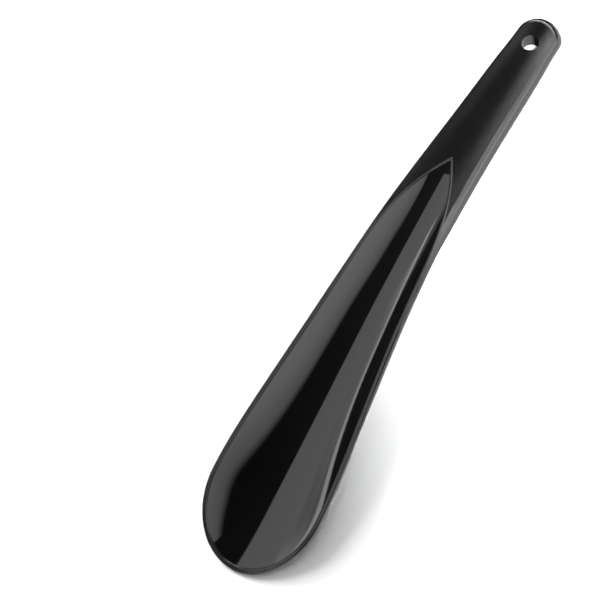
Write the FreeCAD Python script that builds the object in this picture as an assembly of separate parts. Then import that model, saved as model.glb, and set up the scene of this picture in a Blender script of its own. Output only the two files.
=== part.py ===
import FreeCAD, Part
import math
import os

# Long shoehorn, lying on its back with the dish up.
#
# +X runs across, +Y from the toe to the handle end and +Z up. The origin is below the middle of
# the part, on the surface that it lies on. Lengths are in millimetres. A station is a distance
# from the toe tip along +Y.
#
# handle_shell  satin moulding over the full length: handle, bead, rim, back of the blade
# dish_liner    high-gloss dish, seated in the shell inside the bead and the rim

Vector = FreeCAD.Vector

# Plan outline
LENGTH = 250.0
TOE_REACH = 30.0            # from the toe tip to the widest place of the blade
END_REACH = 7.6             # the rounded handle end
SIDE_POINTS = [             # (station, half width) from the widest place to the handle end
    (TOE_REACH, 24.5),
    (62.5, 22.2),
    (94.0, 18.7),
    (125.0, 15.8),
    (156.0, 13.8),
    (179.0, 12.4),
    (210.0, 10.8),
    (230.0, 9.8),
    (LENGTH - END_REACH, 9.1),
]
BLADE_HALF_WIDTH = SIDE_POINTS[0][1]
END_HALF_WIDTH = SIDE_POINTS[-1][1]

# Opening of the dish: the rim's inner edge on the blade, a pointed arch on the handle
RIM_WIDTH = 1.4
APEX = 178.0
OPENING_POINTS = [          # (station, half width) from the widest place to the apex
    (TOE_REACH, BLADE_HALF_WIDTH - RIM_WIDTH),
    (62.5, 20.8),
    (94.0, 17.2),
    (122.0, 14.7),
    (142.0, 12.9),
    (156.0, 10.0),
    (169.0, 5.1),
    (APEX, 0.0),
]
APEX_SLOPE = -0.62          # change of half width with station at the apex

# Side view: height of the rim and of the handle's side edges
RIM_POINTS = [
    (0.0, 2.1),
    (18.0, 7.1),
    (36.0, 10.8),
    (62.5, 14.8),
    (94.0, 18.8),
    (125.0, 21.8),
    (145.0, 22.4),
    (161.0, 21.0),
    (205.0, 13.1),
    (LENGTH, 4.3),
]

# Rise of the convex handle front above its side edges; there is none nearer to the toe
CROWN_POINTS = [
    (85.0, 0.0),
    (125.0, 0.8),
    (150.0, 1.4),
    (APEX, 1.7),
    (LENGTH, 2.6),
]

# Dish: half the curvature across it, in 1/mm
DISH_BEND_POINTS = [
    (0.0, 0.0105),
    (36.0, 0.0125),
    (62.5, 0.0170),
    (94.0, 0.0225),
    (125.0, 0.0240),
    (APEX, 0.0260),
]
DISH_STEP = 0.3             # the dish's edge lies this far below the rim

# Walls
LINER = 0.8
TOE_SKIN = 0.7              # shell behind the liner, at the toe and from BLADE_SKIN_FROM on
BLADE_SKIN = 1.4
BLADE_SKIN_FROM = 40.0
BLADE_SIDE = 1.2            # height of the side faces, on the blade and on the handle
HANDLE_SIDE = 4.4
SIDE_GROWS_FROM = 95.0     # the side faces grow between these stations
SIDE_GROWS_TO = 162.0
BELLY_BLEND = 0.5           # softness of the turn from the blade's belly to the flat underside

# Rounding of the long edges
EDGE_RADIUS = 0.6           # rim, and the underside all round
HANDLE_RADIUS = 3.4         # front edges of the handle and of its end
ROUNDING_GROWS_FROM = 105.0
ROUNDING_GROWS_TO = 165.0

# Bead around the dish
BEAD_RADIUS = 0.62
KNOT_RADIUS = 0.66          # where its two halves join at the toe

# Hollow in the handle's underside
HOLLOW_TIP = 174.0          # round start of the hollow, and where it has its full width
HOLLOW_FULL = 182.0
HANDLE_WALL = 1.8
RIB_THICKNESS = 1.2
RIB_STATIONS = [188.0, 201.0, 214.0, 227.0]

# Hanging hole, square to the handle's front
HOLE_STATION = 237.3
HOLE_RADIUS = 3.5
BOSS_RADIUS = 5.2

# Reach of the construction solids past the part
MARGIN = 8.0
REACH = 90.0


def smooth_curve(points, start_slope=None, end_slope=None):
    """Return f(station): a cubic spline through the points, straight beyond its ends.

    An end with no slope given is a natural end, with no bend in it."""
    count = len(points)
    xs = [p[0] for p in points]
    ys = [p[1] for p in points]
    gap = [xs[i + 1] - xs[i] for i in range(count - 1)]
    rise = [(ys[i + 1] - ys[i]) / gap[i] for i in range(count - 1)]
    # Tridiagonal equations for the slopes at the points
    low = [0.0] * count
    mid = [1.0] * count
    high = [0.0] * count
    rhs = [0.0] * count
    if start_slope is None:
        mid[0] = 2.0
        high[0] = 1.0
        rhs[0] = 3.0 * rise[0]
    else:
        rhs[0] = start_slope
    if end_slope is None:
        low[-1] = 1.0
        mid[-1] = 2.0
        rhs[-1] = 3.0 * rise[-1]
    else:
        rhs[-1] = end_slope
    for i in range(1, count - 1):
        low[i] = gap[i]
        mid[i] = 2.0 * (gap[i - 1] + gap[i])
        high[i] = gap[i - 1]
        rhs[i] = 3.0 * (gap[i] * rise[i - 1] + gap[i - 1] * rise[i])
    for i in range(1, count):
        factor = low[i] / mid[i - 1]
        mid[i] -= factor * high[i - 1]
        rhs[i] -= factor * rhs[i - 1]
    slopes = [0.0] * count
    slopes[-1] = rhs[-1] / mid[-1]
    for i in range(count - 2, -1, -1):
        slopes[i] = (rhs[i] - high[i] * slopes[i + 1]) / mid[i]

    def value(station):
        if station <= xs[0]:
            return ys[0] + slopes[0] * (station - xs[0])
        if station >= xs[-1]:
            return ys[-1] + slopes[-1] * (station - xs[-1])
        i = max(k for k in range(count - 1) if xs[k] <= station)
        t = (station - xs[i]) / gap[i]
        start_part = ys[i] * (1 + 2 * t) * (1 - t) ** 2 + slopes[i] * gap[i] * t * (1 - t) ** 2
        end_part = ys[i + 1] * t * t * (3 - 2 * t) + slopes[i + 1] * gap[i] * t * t * (t - 1)
        return start_part + end_part

    return value


def soft_step(value, start, end):
    """0 before start, 1 after end, with a smooth turn between them."""
    t = min(1.0, max(0.0, (value - start) / (end - start)))
    return t * t * (3 - 2 * t)


side = smooth_curve(SIDE_POINTS, start_slope=0.0, end_slope=0.0)
opening = smooth_curve(OPENING_POINTS, start_slope=0.0, end_slope=APEX_SLOPE)
rim_height = smooth_curve(RIM_POINTS)
crown = smooth_curve(CROWN_POINTS, start_slope=0.0)
dish_bend = smooth_curve(DISH_BEND_POINTS)


def place(x, station, z):
    """A point in the part's frame."""
    return Vector(x, station - LENGTH / 2, z)


def opening_square(station):
    """Square of the opening's half width, carried on smoothly, below zero, past both its ends."""
    if station < TOE_REACH:
        toe = (TOE_REACH - station) / (TOE_REACH - RIM_WIDTH)
        return OPENING_POINTS[0][1] ** 2 * (1 - toe * toe)
    if station > APEX:
        return -(opening(station) ** 2)
    return opening(station) ** 2


def front(x, station):
    """Height of the front: the rim's top on the blade, the convex handle beyond it."""
    half = side(max(station, TOE_REACH))
    return rim_height(station) + crown(station) * (1 - (x / half) ** 2)


def dish(x, station):
    """Height of the dish. It meets the opening's edge all round, just below the rim."""
    square = opening_square(station)
    edge = front(math.sqrt(max(square, 0.0)), station) - DISH_STEP
    return edge - dish_bend(station) * (square - x * x)


def recess(x, station):
    """Height of the shell's seat under the liner."""
    return dish(x, station) - LINER


def skin(station):
    return TOE_SKIN + (BLADE_SKIN - TOE_SKIN) * soft_step(station, 0.0, BLADE_SKIN_FROM)


def back(x, station):
    """Height of the back: a belly parallel to the dish that sinks into a flat underside."""
    belly = recess(x, station) - skin(station)
    growth = soft_step(station, SIDE_GROWS_FROM, SIDE_GROWS_TO)
    flat = rim_height(station) - BLADE_SIDE - (HANDLE_SIDE - BLADE_SIDE) * growth
    return (belly + flat - math.hypot(belly - flat, BELLY_BLEND)) / 2


def hollow_top(x, station):
    return front(x, station) - HANDLE_WALL


def sheet(height):
    """A smooth face through height(x, station), wider and longer than the part."""
    columns = [x * (BLADE_HALF_WIDTH + MARGIN) / 3 for x in range(-3, 4)]
    rows = 26
    step = (LENGTH + 2 * MARGIN) / (rows - 1)
    stations = [-MARGIN + row * step for row in range(rows)]
    grid = [[place(x, s, height(x, s)) for x in columns] for s in stations]
    surface = Part.BSplineSurface()
    surface.interpolate(grid)
    return surface.toShape()


def above(face):
    return face.extrude(Vector(0, 0, REACH))


def below(face):
    return face.extrude(Vector(0, 0, -REACH))


def side_edges(curve, stations, sign, inset=0.0):
    """Edges of one smooth line along the side of an outline, with a joint at each station."""
    first, last = stations[0], stations[-1]
    count = max(4, round((last - first) / 8.0))
    steps = [first + (last - first) * i / count for i in range(count + 1)]
    spline = Part.BSplineCurve()
    spline.interpolate([place(sign * (curve(s) - inset), s, 0) for s in steps])
    marks = [spline.parameter(place(sign * (curve(s) - inset), s, 0)) for s in stations]
    return [spline.toShape(start, end) for start, end in zip(marks, marks[1:])]


def half_ellipse(station, half_width, reach, towards):
    """Half ellipse across the part that bulges by reach, with towards 1 for the handle end."""
    centre = place(0, station, 0)
    along = centre + Vector(0, reach, 0)
    across = centre + Vector(half_width, 0, 0)
    if reach >= half_width:
        ellipse = Part.Ellipse(along, across, centre)
    else:
        ellipse = Part.Ellipse(across, along, centre)
    ends = [ellipse.parameter(centre + Vector(x, 0, 0)) for x in (half_width, -half_width)]
    for first, last in (ends, ends[::-1]):
        arc = Part.ArcOfEllipse(ellipse, first, last)
        middle = arc.value((arc.FirstParameter + arc.LastParameter) / 2)
        if (middle.y - centre.y) * towards > 0:
            return arc.toShape()


def prism(edges):
    """Tall solid on a closed outline."""
    wire = Part.Wire(Part.__sortEdges__(edges))
    face = Part.Face(wire)
    face.translate(Vector(0, 0, -REACH / 2))
    return face.extrude(Vector(0, 0, 2 * REACH))


def outline_prism():
    last = LENGTH - END_REACH
    joints = [TOE_REACH, ROUNDING_GROWS_FROM, ROUNDING_GROWS_TO, last]
    edges = side_edges(side, joints, -1) + side_edges(side, joints, 1)
    edges.append(half_ellipse(TOE_REACH, BLADE_HALF_WIDTH, TOE_REACH, -1))
    edges.append(half_ellipse(last, END_HALF_WIDTH, END_REACH, 1))
    return prism(edges)


def opening_prism():
    edges = side_edges(opening, [TOE_REACH, APEX], -1) + side_edges(opening, [TOE_REACH, APEX], 1)
    edges.append(half_ellipse(TOE_REACH, OPENING_POINTS[0][1], TOE_REACH - RIM_WIDTH, -1))
    return prism(edges)


def hollow_prism():
    last = LENGTH - END_REACH
    joints = [HOLLOW_FULL, last]
    edges = side_edges(side, joints, -1, HANDLE_WALL) + side_edges(side, joints, 1, HANDLE_WALL)
    start_half = side(HOLLOW_FULL) - HANDLE_WALL
    edges.append(half_ellipse(HOLLOW_FULL, start_half, HOLLOW_FULL - HOLLOW_TIP, -1))
    edges.append(half_ellipse(last, END_HALF_WIDTH - HANDLE_WALL, END_REACH - HANDLE_WALL, 1))
    return prism(edges)


def bead():
    """Round bead on the front, along the opening's edge from the apex to the toe and back."""
    steps = 16
    last = TOE_REACH + 8.0
    path = []
    for i in range(steps + 1):
        # Closer together near the apex, where the arch bends most
        station = APEX - (APEX - last) * (i / steps) ** 1.35
        path.append((opening(station), station))
    for degrees in range(90, -1, -10):
        angle = math.radians(degrees)
        x = OPENING_POINTS[0][1] * math.sin(angle)
        path.append((x, TOE_REACH - (TOE_REACH - RIM_WIDTH) * math.cos(angle)))
    points = [place(x, station, front(x, station)) for x, station in path]
    spline = Part.BSplineCurve()
    spline.interpolate(points)
    direction = spline.tangent(spline.FirstParameter)[0]
    circle = Part.Wire([Part.Circle(points[0], direction, BEAD_RADIUS).toShape()])
    half = Part.Wire([spline.toShape()]).makePipeShell([circle], True, True)
    other = half.mirror(Vector(0, 0, 0), Vector(1, 0, 0))
    knots = [Part.makeSphere(BEAD_RADIUS, points[0]), Part.makeSphere(KNOT_RADIUS, points[-1])]
    return half.fuse([other] + knots)


def hole_axis():
    """Middle of the hole on the front, and the direction square to the front there."""
    centre = place(0, HOLE_STATION, front(0, HOLE_STATION))
    slope = front(0, HOLE_STATION + 0.5) - front(0, HOLE_STATION - 0.5)
    direction = Vector(0, -slope, 1)
    direction.normalize()
    return centre, direction


def rod(radius):
    """Cylinder along the hanging hole, longer than the handle is thick."""
    centre, direction = hole_axis()
    return Part.makeCylinder(radius, REACH / 2, centre - direction * (REACH / 4), direction)


def hollow(front_face_offset, seat_face_offset):
    """Room cut from the handle's underside, with cross ribs and the hole's boss left standing."""
    room = hollow_prism().common(below(front_face_offset)).common(below(seat_face_offset))
    ribs = []
    for station in RIB_STATIONS:
        corner = place(-BLADE_HALF_WIDTH, station - RIB_THICKNESS / 2, -REACH / 2)
        ribs.append(Part.makeBox(2 * BLADE_HALF_WIDTH, RIB_THICKNESS, 2 * REACH, corner))
    return room.cut(ribs + [rod(BOSS_RADIUS)])


def rounding(x, station, z):
    """Radius of the rounding at a point of a long edge."""
    on_front = abs(z - front(x, station)) < abs(z - back(x, station))
    growth = soft_step(station, ROUNDING_GROWS_FROM, ROUNDING_GROWS_TO) if on_front else 0.0
    return EDGE_RADIUS + (HANDLE_RADIUS - EDGE_RADIUS) * growth


def rounded_blank():
    """The whole outer shape, with its long edges rounded."""
    blank = outline_prism().common(below(sheet(front))).common(above(sheet(back)))
    document = FreeCAD.newDocument("shoehorn")
    base = document.addObject("Part::Feature", "blank")
    base.Shape = blank
    radii = []
    for number, edge in enumerate(blank.Edges, 1):
        first, last = edge.valueAt(edge.FirstParameter), edge.valueAt(edge.LastParameter)
        upright = math.hypot(first.x - last.x, first.y - last.y) < 0.5
        if not upright:
            ends = [rounding(p.x, p.y + LENGTH / 2, p.z) for p in (first, last)]
            radii.append((number, ends[0], ends[1]))
    fillet = document.addObject("Part::Fillet", "rounded")
    fillet.Base = base
    fillet.Edges = radii
    document.recompute()
    return fillet.Shape.copy()


def build():
    pocket = opening_prism().common(above(sheet(recess)))
    lip = bead()
    seat_back = sheet(lambda x, station: recess(x, station) - BLADE_SKIN)
    shell = rounded_blank().cut(pocket).fuse(lip)
    shell = shell.cut(hollow(sheet(hollow_top), seat_back)).cut(rod(HOLE_RADIUS))
    liner = pocket.common(below(sheet(dish))).cut(lip)
    return {"handle_shell": shell, "dish_liner": liner}


def main():
    os.makedirs("parts", exist_ok=True)
    for name, shape in build().items():
        solids = shape.Solids
        print(name, "solids", len(solids), "valid", shape.isValid(), "volume", round(shape.Volume, 1))
        solids[0].exportStep(os.path.join("parts", name + ".step"))
        box = shape.BoundBox
        print("  x %.2f..%.2f  y %.2f..%.2f  z %.2f..%.2f"
              % (box.XMin, box.XMax, box.YMin, box.YMax, box.ZMin, box.ZMax))


main()
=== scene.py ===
import math

import bpy
from mathutils import Matrix, Vector


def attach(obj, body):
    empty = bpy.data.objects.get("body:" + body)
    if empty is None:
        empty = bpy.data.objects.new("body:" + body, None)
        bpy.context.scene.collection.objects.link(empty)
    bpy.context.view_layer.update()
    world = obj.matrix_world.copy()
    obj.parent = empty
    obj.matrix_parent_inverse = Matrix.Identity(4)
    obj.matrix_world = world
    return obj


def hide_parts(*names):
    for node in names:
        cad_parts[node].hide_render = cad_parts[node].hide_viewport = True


# Long shoehorn: a satin black moulding with a high-gloss black dish.
#
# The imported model's frame: +X across, +Y from the toe to the handle end, +Z up, in metres.
# The dish's shape is worked out in millimetres, from stations: distances from the toe tip.
#
# 1  shape of the dish       the curves that the moulded part is made from
# 2  mesh of the dish        gloss_dish, which stands for the node dish_liner
# 3  materials               satin for handle_shell, gloss for the dish, white for the floor
# 4  floor, world, lights
# 5  camera

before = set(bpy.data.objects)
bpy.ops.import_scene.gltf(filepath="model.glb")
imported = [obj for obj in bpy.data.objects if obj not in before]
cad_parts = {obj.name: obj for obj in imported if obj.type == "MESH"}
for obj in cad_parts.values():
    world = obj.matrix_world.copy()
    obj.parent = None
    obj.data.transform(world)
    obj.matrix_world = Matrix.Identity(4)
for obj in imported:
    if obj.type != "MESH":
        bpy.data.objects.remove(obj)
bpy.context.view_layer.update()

MM = 0.001

# ------------------------------------------------------------ 1  shape of the dish, in mm
LENGTH = 250.0              # toe tip to handle end
TOE_REACH = 30.0            # from the toe tip to the widest place of the blade
RIM_WIDTH = 1.4
APEX = 178.0                # station where the dish ends in a point
APEX_SLOPE = -0.62          # change of half width with station at the apex
DISH_STEP = 0.3             # the dish's edge lies this far below the rim
SIDE_POINTS = [             # (station, half width) of the whole part
    (TOE_REACH, 24.5), (62.5, 22.2), (94.0, 18.7), (125.0, 15.8), (156.0, 13.8),
    (179.0, 12.4), (210.0, 10.8), (230.0, 9.8), (242.4, 9.1),
]
OPENING_POINTS = [          # (station, half width) of the dish's opening
    (TOE_REACH, 23.1), (62.5, 20.8), (94.0, 17.2), (122.0, 14.7), (142.0, 12.9),
    (156.0, 10.0), (169.0, 5.1), (APEX, 0.0),
]
RIM_POINTS = [              # (station, height) of the rim and of the handle's side edges
    (0.0, 2.1), (18.0, 7.1), (36.0, 10.8), (62.5, 14.8), (94.0, 18.8), (125.0, 21.8),
    (145.0, 22.4), (161.0, 21.0), (205.0, 13.1), (LENGTH, 4.3),
]
CROWN_POINTS = [            # (station, rise) of the convex front above its side edges
    (85.0, 0.0), (125.0, 0.8), (150.0, 1.4), (APEX, 1.7), (LENGTH, 2.6),
]
DISH_BEND_POINTS = [        # (station, half the curvature across the dish, in 1/mm)
    (0.0, 0.0105), (36.0, 0.0125), (62.5, 0.0170), (94.0, 0.0225), (125.0, 0.0240),
    (APEX, 0.0260),
]
TOE_BLEND = 12.0            # softness of the dish's turn into its round toe

OPENING_HALF_WIDTH = OPENING_POINTS[0][1]


def spline_slopes(xs, ys, start_slope, end_slope):
    """Slopes of a cubic spline at its points. An end whose slope is None is left free."""
    count = len(xs)
    gap = [xs[i + 1] - xs[i] for i in range(count - 1)]
    rise = [(ys[i + 1] - ys[i]) / gap[i] for i in range(count - 1)]
    low = [0.0] * count
    mid = [1.0] * count
    high = [0.0] * count
    rhs = [0.0] * count
    if start_slope is None:
        mid[0] = 2.0
        high[0] = 1.0
        rhs[0] = 3.0 * rise[0]
    else:
        rhs[0] = start_slope
    if end_slope is None:
        low[-1] = 1.0
        mid[-1] = 2.0
        rhs[-1] = 3.0 * rise[-1]
    else:
        rhs[-1] = end_slope
    for i in range(1, count - 1):
        low[i] = gap[i]
        mid[i] = 2.0 * (gap[i - 1] + gap[i])
        high[i] = gap[i - 1]
        rhs[i] = 3.0 * (gap[i] * rise[i - 1] + gap[i - 1] * rise[i])
    for i in range(1, count):
        factor = low[i] / mid[i - 1]
        mid[i] -= factor * high[i - 1]
        rhs[i] -= factor * rhs[i - 1]
    slopes = [0.0] * count
    slopes[-1] = rhs[-1] / mid[-1]
    for i in range(count - 2, -1, -1):
        slopes[i] = (rhs[i] - high[i] * slopes[i + 1]) / mid[i]
    return slopes


def smooth_curve(points, start_slope=None, end_slope=None):
    """f(station): a cubic spline through the points, straight beyond its ends."""
    xs = [p[0] for p in points]
    ys = [p[1] for p in points]
    slopes = spline_slopes(xs, ys, start_slope, end_slope)

    def value(station):
        if station <= xs[0]:
            return ys[0] + slopes[0] * (station - xs[0])
        if station >= xs[-1]:
            return ys[-1] + slopes[-1] * (station - xs[-1])
        i = max(k for k in range(len(xs) - 1) if xs[k] <= station)
        gap = xs[i + 1] - xs[i]
        t = (station - xs[i]) / gap
        start_part = ys[i] * (1 + 2 * t) * (1 - t) ** 2 + slopes[i] * gap * t * (1 - t) ** 2
        end_part = ys[i + 1] * t * t * (3 - 2 * t) + slopes[i + 1] * gap * t * t * (t - 1)
        return start_part + end_part

    return value


side = smooth_curve(SIDE_POINTS, start_slope=0.0, end_slope=0.0)
opening = smooth_curve(OPENING_POINTS, start_slope=0.0, end_slope=APEX_SLOPE)
rim_height = smooth_curve(RIM_POINTS)
crown = smooth_curve(CROWN_POINTS, start_slope=0.0)
dish_bend = smooth_curve(DISH_BEND_POINTS)


def opening_square(station):
    """Square of the opening's half width, with its bend changing softly at the widest place.

    The toe is half an ellipse, so its square bends by one amount before TOE_REACH and by
    another after it. That sudden change is exchanged for one spread over about TOE_BLEND."""
    probe = 0.5
    rise = opening(TOE_REACH + probe) ** 2 - OPENING_HALF_WIDTH ** 2
    start_bend = rise / (probe ** 2 / 2)
    toe_bend = -2 * (OPENING_HALF_WIDTH / (TOE_REACH - RIM_WIDTH)) ** 2
    short = TOE_REACH - station
    if short < 0:
        square = opening(station) * abs(opening(station))
        sudden = 0.0
    else:
        square = OPENING_HALF_WIDTH ** 2 + toe_bend * short * short / 2
        sudden = short * short / 2
    reach = (short + math.hypot(short, TOE_BLEND)) / 2
    soft = reach ** 2 / 2 - TOE_BLEND ** 2 / 4 * reach / (reach + TOE_BLEND)
    return square + (toe_bend - start_bend) * (soft - sudden)


def front(x, station):
    """Height of the rim and of the handle's convex front."""
    half = side(max(station, TOE_REACH))
    return rim_height(station) + crown(station) * (1 - (x / half) ** 2)


def dish(x, station):
    """Height of the dish's face, which is a parabola across."""
    square = opening_square(station)
    edge = front(math.sqrt(max(square, 0.0)), station) - DISH_STEP
    return edge - dish_bend(station) * (square - x * x)


# ------------------------------------------------------------ 2  mesh of the dish
DISH_INSET = 0.3            # mm that its outline stays inside the opening, under the bead
DISH_THICKNESS = 0.7        # mm
DISH_ROWS = 300
DISH_COLUMNS = 72
SHARP_ANGLE = 40            # degrees: faces that meet at more than this have a sharp edge
TIP_SEARCH = 4.0            # mm before the apex, where the search for the mesh's tip starts
TIP_HALVINGS = 40


def inset_half(station):
    """Half width of the mesh's own outline, inside the opening's edge."""
    if station < TOE_REACH:
        toe = (TOE_REACH - station) / (TOE_REACH - RIM_WIDTH - DISH_INSET)
        return (OPENING_HALF_WIDTH - DISH_INSET) * math.sqrt(max(0.0, 1 - toe * toe))
    probe = 0.05
    slope = (opening(station + probe) - opening(station - probe)) / (2 * probe)
    return opening(station) - DISH_INSET * math.hypot(1, slope)


def dish_stations():
    """Rows from the toe to the tip, closer together at both ends."""
    first = RIM_WIDTH + DISH_INSET
    low, high = APEX - TIP_SEARCH, APEX
    for _ in range(TIP_HALVINGS):
        middle = (low + high) / 2
        if inset_half(middle) > 0:
            low = middle
        else:
            high = middle
    shares = [i / DISH_ROWS for i in range(DISH_ROWS + 1)]
    return [first + (low - first) * (1 - math.cos(math.pi * t)) / 2 for t in shares]


def dish_columns():
    """Places across a row, from -1 to 1, closer together at both edges."""
    shares = [2 * k / DISH_COLUMNS - 1 for k in range(DISH_COLUMNS + 1)]
    return [math.sin(math.pi / 2 * share) for share in shares]


def add_layer(verts, stations, drop):
    """Adds the points of one side of the mesh, drop mm below the dish's face."""
    def add(x, station):
        verts.append((x * MM, (station - LENGTH / 2) * MM, (dish(x, station) - drop) * MM))
        return len(verts) - 1

    columns = dish_columns()
    toe = add(0.0, stations[0])
    rows = []
    for station in stations[1:-1]:
        half = inset_half(station)
        rows.append([add(half * column, station) for column in columns])
    tip = add(0.0, stations[-1])
    return toe, rows, tip


def layer_faces(toe, rows, tip):
    """Faces of a layer, turned upwards."""
    faces = []
    for k in range(DISH_COLUMNS):
        faces.append((toe, rows[0][k + 1], rows[0][k]))
        faces.append((tip, rows[-1][k], rows[-1][k + 1]))
    for here, there in zip(rows, rows[1:]):
        for k in range(DISH_COLUMNS):
            faces.append((here[k], here[k + 1], there[k + 1], there[k]))
    return faces


def layer_outline(toe, rows, tip):
    return [toe] + [row[-1] for row in rows] + [tip] + [row[0] for row in rows[::-1]]


def build_dish():
    """Closed mesh: the dish's face, its back and the edge between them."""
    stations = dish_stations()
    verts = []
    face_layer = add_layer(verts, stations, 0.0)
    back_layer = add_layer(verts, stations, DISH_THICKNESS)
    faces = layer_faces(*face_layer)
    faces += [face[::-1] for face in layer_faces(*back_layer)]
    top = layer_outline(*face_layer)
    bottom = layer_outline(*back_layer)
    for i in range(len(top)):
        j = (i + 1) % len(top)
        faces.append((top[i], bottom[i], bottom[j], top[j]))
    mesh = bpy.data.meshes.new("gloss_dish")
    mesh.from_pydata(verts, [], faces)
    mesh.validate()
    mesh.update()
    piece = bpy.data.objects.new("gloss_dish", mesh)
    bpy.context.scene.collection.objects.link(piece)
    mesh.shade_smooth()
    mesh.set_sharp_from_angle(angle=math.radians(SHARP_ANGLE))
    return piece


# ------------------------------------------------------------ 3  materials
NOISE_RANGE = (0.3, 0.7)    # the part of a noise's values that its effect is spread over

SATIN_DEEP = (0.0025, 0.0025, 0.0028, 1)
SATIN_PALE = (0.0038, 0.0038, 0.0042, 1)
SATIN_ROUGHNESS = (0.17, 0.21)
SATIN_CLOUD = 45.0          # noise scales, in features per metre
SATIN_PEBBLE = 900.0
SATIN_GRAIN = 2600.0
FINE_DETAIL = 2.0
SATIN_BUMP = 0.06
PEBBLE_HEIGHT = 0.00004     # m
GRAIN_HEIGHT = 0.00002      # m

GLOSS_DEEP = (0.0018, 0.0018, 0.002, 1)
GLOSS_PALE = (0.0028, 0.0028, 0.003, 1)
GLOSS_ROUGHNESS = (0.045, 0.065)
GLOSS_CLOUD = 30.0
GLOSS_HAZE = 160.0
GLOSS_BUMP = 0.03
GLOSS_HEIGHT = 0.0002       # m

FLOOR_DEEP = (0.90, 0.90, 0.90, 1)
FLOOR_PALE = (0.92, 0.92, 0.92, 1)
FLOOR_CLOUD = 3.0
FLOOR_ROUGHNESS = 0.9
FLOOR_SPECULAR = 0.1


def new_material(name):
    material = bpy.data.materials.new(name)
    material.use_nodes = True
    tree = material.node_tree
    shader = tree.nodes["Principled BSDF"]
    where = tree.nodes.new("ShaderNodeTexCoord").outputs["Object"]
    return material, tree, shader, where


def noise(tree, coords, scale, detail=3.0, roughness=0.55):
    node = tree.nodes.new("ShaderNodeTexNoise")
    node.inputs["Scale"].default_value = scale
    node.inputs["Detail"].default_value = detail
    node.inputs["Roughness"].default_value = roughness
    tree.links.new(coords, node.inputs["Vector"])
    return node.outputs["Fac"]


def remap(tree, value, to, source=NOISE_RANGE):
    """Spreads the range source of a value over the range to, and stays inside it."""
    node = tree.nodes.new("ShaderNodeMapRange")
    node.inputs["From Min"].default_value = source[0]
    node.inputs["From Max"].default_value = source[1]
    node.inputs["To Min"].default_value = to[0]
    node.inputs["To Max"].default_value = to[1]
    tree.links.new(value, node.inputs["Value"])
    return node.outputs["Result"]


def bump(tree, height, strength, distance, onto=None):
    node = tree.nodes.new("ShaderNodeBump")
    node.inputs["Strength"].default_value = strength
    node.inputs["Distance"].default_value = distance
    tree.links.new(height, node.inputs["Height"])
    if onto is not None:
        tree.links.new(onto, node.inputs["Normal"])
    return node.outputs["Normal"]


def ramp(tree, value, stops):
    """Colour ramp with two or more stops, each (position, colour)."""
    node = tree.nodes.new("ShaderNodeValToRGB")
    elements = node.color_ramp.elements
    elements[0].position, elements[0].color = stops[0]
    elements[1].position, elements[1].color = stops[-1]
    for position, colour in stops[1:-1]:
        element = elements.new(position)
        element.color = colour
    tree.links.new(value, node.inputs["Fac"])
    return node.outputs["Color"]


def clouded(tree, cloud, deep, pale):
    """Colour that drifts between deep and pale with a noise."""
    return ramp(tree, cloud, [(NOISE_RANGE[0], deep), (NOISE_RANGE[1], pale)])


def satin_black():
    material, tree, shader, where = new_material("satin_black")
    cloud = noise(tree, where, SATIN_CLOUD)
    grain = noise(tree, where, SATIN_GRAIN, detail=FINE_DETAIL)
    pebble = noise(tree, where, SATIN_PEBBLE, detail=FINE_DETAIL)
    tree.links.new(clouded(tree, cloud, SATIN_DEEP, SATIN_PALE), shader.inputs["Base Color"])
    tree.links.new(remap(tree, pebble, SATIN_ROUGHNESS), shader.inputs["Roughness"])
    grained = bump(tree, grain, SATIN_BUMP, GRAIN_HEIGHT)
    pebbled = bump(tree, pebble, SATIN_BUMP, PEBBLE_HEIGHT, onto=grained)
    tree.links.new(pebbled, shader.inputs["Normal"])
    return material


def gloss_black():
    material, tree, shader, where = new_material("gloss_black")
    cloud = noise(tree, where, GLOSS_CLOUD)
    haze = noise(tree, where, GLOSS_HAZE)
    tree.links.new(clouded(tree, cloud, GLOSS_DEEP, GLOSS_PALE), shader.inputs["Base Color"])
    tree.links.new(remap(tree, haze, GLOSS_ROUGHNESS), shader.inputs["Roughness"])
    tree.links.new(bump(tree, cloud, GLOSS_BUMP, GLOSS_HEIGHT), shader.inputs["Normal"])
    return material


def floor_white():
    material, tree, shader, where = new_material("floor_white")
    cloud = noise(tree, where, FLOOR_CLOUD)
    tree.links.new(clouded(tree, cloud, FLOOR_DEEP, FLOOR_PALE), shader.inputs["Base Color"])
    shader.inputs["Roughness"].default_value = FLOOR_ROUGHNESS
    shader.inputs["Specular IOR Level"].default_value = FLOOR_SPECULAR
    return material


satin = satin_black()
gloss = gloss_black()

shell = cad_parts["handle_shell"]
shell.data.materials.clear()
shell.data.materials.append(satin)

dish_piece = build_dish()
dish_piece.data.materials.append(gloss)
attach(dish_piece, "root")
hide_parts("dish_liner")


# ------------------------------------------------------------ 4  floor, world, lights
FLOOR_HALF = 4.0            # m
LIGHT_AIM = Vector((0, 0, 0.01))

# The world is coloured by direction: X is -1 to 1 across, Z is -1 straight down, 0 at the
# horizon and 1 straight up. Its greys are shares of its strength.
WORLD_STRENGTH = 4.0
ROOM_GREY = 0.005
HORIZON_GREY = 0.25
ROOM_SPAN = (-0.5, 0.5)     # the part of Z that the room's ramp covers
ROOM_STOPS = [
    (0.45, ROOM_GREY), (0.48, HORIZON_GREY), (0.515, HORIZON_GREY), (0.55, ROOM_GREY),
]
GROUND_SPAN = (-1.0, 0.0)   # the part of Z that the ground's ramp covers
GROUND_STOPS = [(0.05, 0.27), (0.5, 0.55), (0.95, 0.85), (1.0, HORIZON_GREY)]
GROUND_SIDE = (-0.25, 0.25)     # the part of X over which the ground comes in
GROUND_TOP = (-0.06, 0.0)       # the part of Z over which it gives way to the room


def grey(value):
    return (value, value, value, 1)


def grey_stops(stops):
    return [(place, grey(value)) for place, value in stops]


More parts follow.
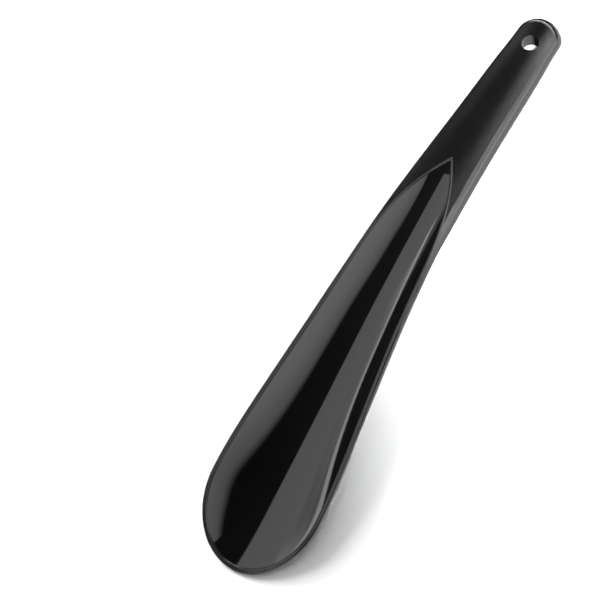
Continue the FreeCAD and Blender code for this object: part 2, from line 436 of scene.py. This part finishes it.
def build_floor():
    """Pale floor. It isn't reflected: the world's pale ground stands for it."""
    half = FLOOR_HALF
    corners = [(-half, -half, 0), (half, -half, 0), (half, half, 0), (-half, half, 0)]
    mesh = bpy.data.meshes.new("floor")
    mesh.from_pydata(corners, [], [(0, 1, 2, 3)])
    floor = bpy.data.objects.new("floor", mesh)
    bpy.context.scene.collection.objects.link(floor)
    floor.data.materials.append(floor_white())
    floor.visible_glossy = False


def build_world():
    """Dark room with a pale horizon, above a ground that is pale on its +X side only."""
    world = bpy.data.worlds.new("studio")
    bpy.context.scene.world = world
    world.use_nodes = True
    tree = world.node_tree
    background = tree.nodes["Background"]
    where = tree.nodes.new("ShaderNodeTexCoord").outputs["Generated"]
    split = tree.nodes.new("ShaderNodeSeparateXYZ")
    tree.links.new(where, split.inputs["Vector"])
    x = split.outputs["X"]
    z = split.outputs["Z"]

    whole = (0.0, 1.0)
    room = ramp(tree, remap(tree, z, whole, ROOM_SPAN), grey_stops(ROOM_STOPS))
    ground = ramp(tree, remap(tree, z, whole, GROUND_SPAN), grey_stops(GROUND_STOPS))
    share = tree.nodes.new("ShaderNodeMath")
    share.operation = "MULTIPLY"
    tree.links.new(remap(tree, x, whole, GROUND_SIDE), share.inputs[0])
    tree.links.new(remap(tree, z, whole[::-1], GROUND_TOP), share.inputs[1])
    mix = tree.nodes.new("ShaderNodeMix")
    mix.data_type = "RGBA"
    tree.links.new(share.outputs["Value"], mix.inputs["Factor"])
    tree.links.new(room, mix.inputs["A"])
    tree.links.new(ground, mix.inputs["B"])
    tree.links.new(mix.outputs["Result"], background.inputs["Color"])
    background.inputs["Strength"].default_value = WORLD_STRENGTH


def add_fade(light, fade):
    """Makes a softbox's brightness change across it."""
    light.use_nodes = True
    tree = light.node_tree
    emission = tree.nodes["Emission"]
    split = tree.nodes.new("ShaderNodeSeparateXYZ")
    place = tree.nodes.new("ShaderNodeNewGeometry").outputs["Parametric"]
    tree.links.new(place, split.inputs["Vector"])
    colour = ramp(tree, split.outputs["X"], grey_stops(fade))
    tree.links.new(colour, emission.inputs["Color"])


def panel(name, lean, tilt, across, along, distance, radiance, spin=0.0, fade=None,
          in_reflections=True):
    """Rectangular softbox that faces LIGHT_AIM from distance metres away.

    lean and tilt are its angles from overhead towards +X and +Y, across and along are its
    angular widths that way, and spin turns it in its own plane, all in degrees. fade gives
    its brightness across it, as (place from 0 to 1, share of the radiance). It shows only
    in reflections, or it lights only the floor and what is dull."""
    lean, tilt = math.radians(lean), math.radians(tilt)
    back = Vector((
        math.sin(lean) * math.cos(tilt),
        math.sin(tilt),
        math.cos(lean) * math.cos(tilt),
    ))
    right = Vector((0, 1, 0)).cross(back).normalized()
    light = bpy.data.lights.new(name, "AREA")
    light.shape = "RECTANGLE"
    light.size = 2 * distance * math.tan(math.radians(across / 2))
    light.size_y = 2 * distance * math.tan(math.radians(along / 2))
    light.energy = radiance * math.pi * light.size * light.size_y
    if fade:
        add_fade(light, fade)
    lamp = bpy.data.objects.new(name, light)
    bpy.context.scene.collection.objects.link(lamp)
    turn = Matrix((right, back.cross(right), back)).transposed().to_4x4()
    turn = turn @ Matrix.Rotation(math.radians(spin), 4, "Z")
    lamp.matrix_world = Matrix.Translation(LIGHT_AIM + back * distance) @ turn
    lamp.visible_camera = False
    lamp.visible_glossy = in_reflections
    lamp.visible_diffuse = not in_reflections


def spot(name, place, aim, cone, radius, watts):
    """Soft round light that doesn't show in reflections. cone is in degrees, lengths in m."""
    light = bpy.data.lights.new(name, "SPOT")
    light.spot_size = math.radians(cone)
    light.spot_blend = 1.0
    light.shadow_soft_size = radius
    light.energy = watts
    lamp = bpy.data.objects.new(name, light)
    bpy.context.scene.collection.objects.link(lamp)
    turn = (Vector(place) - Vector(aim)).to_track_quat("Z", "Y").to_matrix().to_4x4()
    lamp.matrix_world = Matrix.Translation(Vector(place)) @ turn
    lamp.visible_camera = False
    lamp.visible_glossy = False


def build_lights():
    """Each name says on which side a light stands and what it is for."""
    panel("right_dish", lean=39, tilt=0, across=42, along=64, distance=2.0, radiance=3.3,
          spin=52, fade=[(0.0, 0.0), (0.10, 0.45), (0.35, 0.75), (1.0, 1.0)])
    panel("right_handle", lean=40, tilt=34, across=84, along=30, distance=2.0, radiance=5.4,
          fade=[(0.0, 0.0), (0.12, 0.15), (0.3, 0.42), (0.5, 0.64), (0.8, 0.95), (1.0, 1.0)])
    panel("left_dish", lean=-45, tilt=-4, across=44, along=42, distance=2.0, radiance=1.8,
          fade=[(0.0, 0.25), (0.28, 1.0), (1.0, 1.0)])
    panel("left_edge", lean=-62.3, tilt=-5, across=8, along=22, distance=1.95, radiance=1.5,
          spin=-48, fade=[(0.0, 1.0), (1.0, 0.0)])
    panel("left_strip", lean=-66, tilt=-1, across=3, along=24, distance=1.9, radiance=4.0,
          spin=-48)
    panel("left_handle", lean=-55, tilt=33, across=26, along=20, distance=2.0, radiance=0.75,
          fade=[(0.0, 1.0), (0.4, 0.6), (1.0, 0.0)])
    panel("back_rim", lean=-30, tilt=62, across=80, along=14, distance=2.0, radiance=9.0)
    panel("toe_rim", lean=10, tilt=-50, across=80, along=12, distance=2.0, radiance=5.0)
    panel("key", lean=-54, tilt=12, across=32, along=32, distance=1.7, radiance=15.5,
          in_reflections=False)
    panel("top", lean=0, tilt=0, across=70, along=70, distance=1.9, radiance=1.1,
          in_reflections=False)
    spot("fill", place=(0.30, -0.05, 0.68), aim=(0.025, 0.065, 0.0), cone=25, radius=0.05,
         watts=34.0)


# ------------------------------------------------------------ 5  camera
CAMERA_AZIMUTH = 62.774     # degrees, from -Y towards +X
CAMERA_ELEVATION = 66.501   # degrees
CAMERA_ROLL = -34.256       # degrees
CAMERA_TARGET = Vector((0, 0, 0.007))
CAMERA_DISTANCE = 1.128     # m from the target, along the line of sight
CAMERA_LEFT = 0.034976      # m sideways from that line, so that the part is right of the middle
CAMERA_DOWN = 0.005302      # m
CAMERA_SENSOR = 36.0        # mm
CAMERA_LENS = 174.96        # mm
CAMERA_CLIP_END = 50.0      # m


def build_camera():
    azimuth = math.radians(CAMERA_AZIMUTH)
    elevation = math.radians(CAMERA_ELEVATION)
    roll = math.radians(CAMERA_ROLL)
    back = Vector((
        math.sin(azimuth) * math.cos(elevation),
        -math.cos(azimuth) * math.cos(elevation),
        math.sin(elevation),
    ))
    level_right = Vector((math.cos(azimuth), math.sin(azimuth), 0))
    level_up = back.cross(level_right)
    right = math.cos(roll) * level_right + math.sin(roll) * level_up
    up = math.cos(roll) * level_up - math.sin(roll) * level_right
    data = bpy.data.cameras.new("camera")
    data.sensor_width = CAMERA_SENSOR
    data.lens = CAMERA_LENS
    data.clip_end = CAMERA_CLIP_END
    camera = bpy.data.objects.new("camera", data)
    bpy.context.scene.collection.objects.link(camera)
    turn = Matrix((right, up, back)).transposed().to_4x4()
    place = CAMERA_TARGET + back * CAMERA_DISTANCE - right * CAMERA_LEFT - up * CAMERA_DOWN
    camera.matrix_world = Matrix.Translation(place) @ turn
    bpy.context.scene.camera = camera


build_floor()
build_world()
build_lights()
build_camera()

bpy.context.scene.view_settings.view_transform = "Standard"
